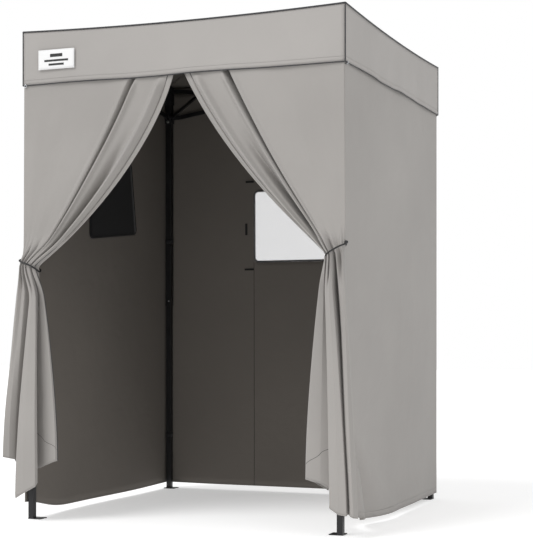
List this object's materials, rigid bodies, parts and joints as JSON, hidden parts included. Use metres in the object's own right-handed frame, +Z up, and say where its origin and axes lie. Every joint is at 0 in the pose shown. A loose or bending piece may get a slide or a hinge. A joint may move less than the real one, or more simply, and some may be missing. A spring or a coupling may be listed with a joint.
{
  "type": "privacy shower tent",
  "caption": "Pop-up privacy shower tent on a folding scissor frame, with a pyramid canopy, valance, three walls and a front of tied-back curtains.",
  "frame": {"origin": "middle of the tent's box on the ground", "axes": "+Z up, the curtained doorway faces -Y, +X to the right of someone looking in"},
  "size_m": [1.6, 1.545, 2.26],
  "materials": {
    "frame_black": "satin powder coat",
    "bracket_plastic": "moulded nylon",
    "latch_steel": "zinc plated",
    "canopy_cloth": "coated polyester",
    "window_mesh": "fine woven mesh",
    "tie_cord": "braided elastic cord",
    "label_patch": "printed woven patch, blank"
  },
  "bodies": {
    "leg_back_left": {"outer_leg_back_left": "frame_black", "top_bracket_back_left": "bracket_plastic", "wall_back": "canopy_cloth", "window_back": "window_mesh", "wall_left": "canopy_cloth", "window_left": "window_mesh", "valance": "canopy_cloth"},
    "leg_front_left": {"outer_leg_front_left": "frame_black", "top_bracket_front_left": "bracket_plastic", "curtain_left": "canopy_cloth", "curtain_tie_left": "tie_cord", "label_patch": "label_patch"},
    "leg_front_right": {"outer_leg_front_right": "frame_black", "top_bracket_front_right": "bracket_plastic", "curtain_right": "canopy_cloth", "curtain_tie_right": "tie_cord"},
    "leg_back_right": {"outer_leg_back_right": "frame_black", "top_bracket_back_right": "bracket_plastic", "wall_right": "canopy_cloth"},
    "lower_leg_back_left": {"inner_leg_back_left": "frame_black"},
    "button_back_left": {"snap_button_back_left": "latch_steel"},
    "slider_back_left": {"slider_back_left": "bracket_plastic"},
    "latch_back_left": {"slider_latch_back_left": "latch_steel"},
    "strut_back_left": {"roof_strut_back_left": "frame_black", "roof_left": "canopy_cloth"},
    "lower_leg_front_left": {"inner_leg_front_left": "frame_black"},
    "button_front_left": {"snap_button_front_left": "latch_steel"},
    "slider_front_left": {"slider_front_left": "bracket_plastic"},
    "latch_front_left": {"slider_latch_front_left": "latch_steel"},
    "strut_front_left": {"roof_strut_front_left": "frame_black", "roof_front": "canopy_cloth"},
    "lower_leg_front_right": {"inner_leg_front_right": "frame_black"},
    "button_front_right": {"snap_button_front_right": "latch_steel"},
    "slider_front_right": {"slider_front_right": "bracket_plastic"},
    "latch_front_right": {"slider_latch_front_right": "latch_steel"},
    "strut_front_right": {"roof_strut_front_right": "frame_black", "roof_right": "canopy_cloth"},
    "lower_leg_back_right": {"inner_leg_back_right": "frame_black"},
    "button_back_right": {"snap_button_back_right": "latch_steel"},
    "slider_back_right": {"slider_back_right": "bracket_plastic"},
    "latch_back_right": {"slider_latch_back_right": "latch_steel"},
    "strut_back_right": {"roof_strut_back_right": "frame_black", "roof_back": "canopy_cloth"},
    "hub": {"roof_hub": "bracket_plastic"},
    "left_a_fall": {"bar_left_a_fall": "frame_black"},
    "left_a_rise": {"bar_left_a_rise": "frame_black"},
    "left_b_fall": {"bar_left_b_fall": "frame_black"},
    "left_b_rise": {"bar_left_b_rise": "frame_black"},
    "front_a_fall": {"bar_front_a_fall": "frame_black"},
    "front_a_rise": {"bar_front_a_rise": "frame_black"},
    "front_b_fall": {"bar_front_b_fall": "frame_black"},
    "front_b_rise": {"bar_front_b_rise": "frame_black"},
    "right_a_fall": {"bar_right_a_fall": "frame_black"},
    "right_a_rise": {"bar_right_a_rise": "frame_black"},
    "right_b_fall": {"bar_right_b_fall": "frame_black"},
    "right_b_rise": {"bar_right_b_rise": "frame_black"},
    "back_a_fall": {"bar_back_a_fall": "frame_black"},
    "back_a_rise": {"bar_back_a_rise": "frame_black"},
    "back_b_fall": {"bar_back_b_fall": "frame_black"},
    "back_b_rise": {"bar_back_b_rise": "frame_black"}
  },
  "joints": [
    {"name": "fold", "type": "hinge", "parent": "leg_back_left", "child": "left_a_fall", "pos_m": [-0.707, 0.6915, 2.09], "axis": [1, 0, 0], "range_deg": [0, 77.5], "deforming": ["wall_back", "window_back", "wall_left", "window_left", "valance", "curtain_left", "curtain_tie_left", "label_patch", "curtain_right", "curtain_tie_right", "wall_right", "roof_left", "roof_front", "roof_right", "roof_back"]},
    {"name": "left_a_cross", "type": "hinge", "parent": "left_a_fall", "child": "left_a_rise", "pos_m": [-0.707, 0.22905, 2.02089], "axis": [1, 0, 0], "range_deg": [-155, 0]},
    {"name": "left_middle", "type": "hinge", "parent": "left_a_fall", "child": "left_b_fall", "pos_m": [-0.707, 0.0375, 1.99226], "axis": [1, 0, 0], "range_deg": [-155, 0]},
    {"name": "left_b_cross", "type": "hinge", "parent": "left_b_fall", "child": "left_b_rise", "pos_m": [-0.707, -0.15405, 2.02089], "axis": [1, 0, 0], "range_deg": [0, 155]},
    {"name": "left_b_top", "type": "hinge", "parent": "left_b_fall", "child": "leg_front_left", "pos_m": [-0.707, -0.6165, 2.09], "axis": [1, 0, 0], "range_deg": [0, 77.5]},
    {"name": "front_a_top", "type": "hinge", "parent": "leg_front_left", "child": "front_a_fall", "pos_m": [-0.654, -0.6695, 2.09], "axis": [0, 1, 0], "range_deg": [0, 77.5]},
    {"name": "front_a_cross", "type": "hinge", "parent": "front_a_fall", "child": "front_a_rise", "pos_m": [-0.19155, -0.6695, 2.02089], "axis": [0, 1, 0], "range_deg": [-155, 0]},
    {"name": "front_middle", "type": "hinge", "parent": "front_a_fall", "child": "front_b_fall", "pos_m": [0, -0.6695, 1.99226], "axis": [0, 1, 0], "range_deg": [-155, 0]},
    {"name": "front_b_cross", "type": "hinge", "parent": "front_b_fall", "child": "front_b_rise", "pos_m": [0.19155, -0.6695, 2.02089], "axis": [0, 1, 0], "range_deg": [0, 155]},
    {"name": "front_b_top", "type": "hinge", "parent": "front_b_fall", "child": "leg_front_right", "pos_m": [0.654, -0.6695, 2.09], "axis": [0, 1, 0], "range_deg": [0, 77.5]},
    {"name": "back_b_top", "type": "hinge", "parent": "leg_back_left", "child": "back_b_fall", "pos_m": [-0.654, 0.7445, 2.09], "axis": [0, -1, 0], "range_deg": [-77.5, 0]},
    {"name": "back_b_cross", "type": "hinge", "parent": "back_b_fall", "child": "back_b_rise", "pos_m": [-0.19155, 0.7445, 2.02089], "axis": [0, -1, 0], "range_deg": [0, 155]},
    {"name": "back_middle", "type": "hinge", "parent": "back_b_fall", "child": "back_a_fall", "pos_m": [0, 0.7445, 1.99226], "axis": [0, -1, 0], "range_deg": [0, 155]},
    {"name": "back_a_cross", "type": "hinge", "parent": "back_a_fall", "child": "back_a_rise", "pos_m": [0.19155, 0.7445, 2.02089], "axis": [0, -1, 0], "range_deg": [-155, 0]},
    {"name": "back_a_top", "type": "hinge", "parent": "back_a_fall", "child": "leg_back_right", "pos_m": [0.654, 0.7445, 2.09], "axis": [0, -1, 0], "range_deg": [-77.5, 0]},
    {"name": "right_a_top", "type": "hinge", "parent": "leg_front_right", "child": "right_a_fall", "pos_m": [0.707, -0.6165, 2.09], "axis": [-1, 0, 0], "range_deg": [0, 77.5]},
    {"name": "right_a_cross", "type": "hinge", "parent": "right_a_fall", "child": "right_a_rise", "pos_m": [0.707, -0.15405, 2.02089], "axis": [-1, 0, 0], "range_deg": [-155, 0]},
    {"name": "right_b_top", "type": "hinge", "parent": "leg_back_right", "child": "right_b_fall", "pos_m": [0.707, 0.6915, 2.09], "axis": [-1, 0, 0], "range_deg": [-77.5, 0]},
    {"name": "right_b_cross", "type": "hinge", "parent": "right_b_fall", "child": "right_b_rise", "pos_m": [0.707, 0.22905, 2.02089], "axis": [-1, 0, 0], "range_deg": [0, 155]},
    {"name": "slider_pin_back_left", "type": "hinge", "parent": "left_a_rise", "child": "slider_back_left", "pos_m": [-0.707, 0.6915, 1.95177], "axis": [1, 0, 0], "range_deg": [0, 77.5]},
    {"name": "strut_pin_back_left", "type": "hinge", "parent": "slider_back_left", "child": "strut_back_left", "pos_m": [-0.67546, 0.71296, 1.95177], "axis": [0.7071, 0.7071, 0], "range_deg": [-77.5, 0]},
    {"name": "slider_pin_front_left", "type": "hinge", "parent": "front_a_rise", "child": "slider_front_left", "pos_m": [-0.654, -0.6695, 1.95177], "axis": [0, 1, 0], "range_deg": [0, 77.5]},
    {"name": "strut_pin_front_left", "type": "hinge", "parent": "slider_front_left", "child": "strut_front_left", "pos_m": [-0.67546, -0.63796, 1.95177], "axis": [-0.7071, 0.7071, 0], "range_deg": [-77.5, 0]},
    {"name": "slider_pin_front_right", "type": "hinge", "parent": "right_a_rise", "child": "slider_front_right", "pos_m": [0.707, -0.6165, 1.95177], "axis": [-1, 0, 0], "range_deg": [0, 77.5]},
    {"name": "strut_pin_front_right", "type": "hinge", "parent": "slider_front_right", "child": "strut_front_right", "pos_m": [0.67546, -0.63796, 1.95177], "axis": [-0.7071, -0.7071, 0], "range_deg": [-77.5, 0]},
    {"name": "slider_pin_back_right", "type": "hinge", "parent": "back_a_rise", "child": "slider_back_right", "pos_m": [0.654, 0.7445, 1.95177], "axis": [0, -1, 0], "range_deg": [0, 77.5]},
    {"name": "strut_pin_back_right", "type": "hinge", "parent": "slider_back_right", "child": "strut_back_right", "pos_m": [0.67546, 0.71296, 1.95177], "axis": [0.7071, -0.7071, 0], "range_deg": [-77.5, 0]},
    {"name": "hub_pin", "type": "hinge", "parent": "strut_back_left", "child": "hub", "pos_m": [-0.02146, 0.05896, 2.09], "axis": [0.7071, 0.7071, 0], "range_deg": [0, 77.5]},
    {"name": "leg_slide_back_left", "type": "slide", "parent": "leg_back_left", "child": "lower_leg_back_left", "axis": [0, 0, 1], "range_m": [0, 0.88]},
    {"name": "snap_button_press_back_left", "type": "slide", "parent": "lower_leg_back_left", "child": "button_back_left", "axis": [0, 1, 0], "range_m": [0, 0.004], "stiffness_N_per_m": 400, "springref_m": -0.002},
    {"name": "latch_pull_back_left", "type": "slide", "parent": "slider_back_left", "child": "latch_back_left", "axis": [0, -1, 0], "range_m": [0, 0.006], "stiffness_N_per_m": 400, "springref_m": -0.002},
    {"name": "leg_slide_front_left", "type": "slide", "parent": "leg_front_left", "child": "lower_leg_front_left", "axis": [0, 0, 1], "range_m": [0, 0.88]},
    {"name": "snap_button_press_front_left", "type": "slide", "parent": "lower_leg_front_left", "child": "button_front_left", "axis": [-1, 0, 0], "range_m": [0, 0.004], "stiffness_N_per_m": 400, "springref_m": -0.002},
    {"name": "latch_pull_front_left", "type": "slide", "parent": "slider_front_left", "child": "latch_front_left", "axis": [1, 0, 0], "range_m": [0, 0.006], "stiffness_N_per_m": 400, "springref_m": -0.002},
    {"name": "leg_slide_front_right", "type": "slide", "parent": "leg_front_right", "child": "lower_leg_front_right", "axis": [0, 0, 1], "range_m": [0, 0.88]},
    {"name": "snap_button_press_front_right", "type": "slide", "parent": "lower_leg_front_right", "child": "button_front_right", "axis": [0, -1, 0], "range_m": [0, 0.004], "stiffness_N_per_m": 400, "springref_m": -0.002},
    {"name": "latch_pull_front_right", "type": "slide", "parent": "slider_front_right", "child": "latch_front_right", "axis": [0, 1, 0], "range_m": [0, 0.006], "stiffness_N_per_m": 400, "springref_m": -0.002},
    {"name": "leg_slide_back_right", "type": "slide", "parent": "leg_back_right", "child": "lower_leg_back_right", "axis": [0, 0, 1], "range_m": [0, 0.88]},
    {"name": "snap_button_press_back_right", "type": "slide", "parent": "lower_leg_back_right", "child": "button_back_right", "axis": [1, 0, 0], "range_m": [0, 0.004], "stiffness_N_per_m": 400, "springref_m": -0.002},
    {"name": "latch_pull_back_right", "type": "slide", "parent": "slider_back_right", "child": "latch_back_right", "axis": [-1, 0, 0], "range_m": [0, 0.006], "stiffness_N_per_m": 400, "springref_m": -0.002}
  ],
  "couplings": [
    {"joint": "left_a_cross", "follows": "fold", "ratio": -2},
    {"joint": "left_middle", "follows": "fold", "ratio": -2},
    {"joint": "left_b_cross", "follows": "fold", "ratio": 2},
    {"joint": "left_b_top", "follows": "fold", "ratio": 1},
    {"joint": "front_a_top", "follows": "fold", "ratio": 1},
    {"joint": "front_a_cross", "follows": "fold", "ratio": -2},
    {"joint": "front_middle", "follows": "fold", "ratio": -2},
    {"joint": "front_b_cross", "follows": "fold", "ratio": 2},
    {"joint": "front_b_top", "follows": "fold", "ratio": 1},
    {"joint": "back_b_top", "follows": "fold", "ratio": -1},
    {"joint": "back_b_cross", "follows": "fold", "ratio": 2},
    {"joint": "back_middle", "follows": "fold", "ratio": 2},
    {"joint": "back_a_cross", "follows": "fold", "ratio": -2},
    {"joint": "back_a_top", "follows": "fold", "ratio": -1},
    {"joint": "right_a_top", "follows": "fold", "ratio": 1},
    {"joint": "right_a_cross", "follows": "fold", "ratio": -2},
    {"joint": "right_b_top", "follows": "fold", "ratio": -1},
    {"joint": "right_b_cross", "follows": "fold", "ratio": 2},
    {"joint": "slider_pin_back_left", "follows": "fold", "ratio": 1},
    {"joint": "strut_pin_back_left", "follows": "fold", "ratio": -1},
    {"joint": "slider_pin_front_left", "follows": "fold", "ratio": 1},
    {"joint": "strut_pin_front_left", "follows": "fold", "ratio": -1},
    {"joint": "slider_pin_front_right", "follows": "fold", "ratio": 1},
    {"joint": "strut_pin_front_right", "follows": "fold", "ratio": -1},
    {"joint": "slider_pin_back_right", "follows": "fold", "ratio": 1},
    {"joint": "strut_pin_back_right", "follows": "fold", "ratio": -1},
    {"joint": "hub_pin", "follows": "fold", "ratio": 1}
  ]
}
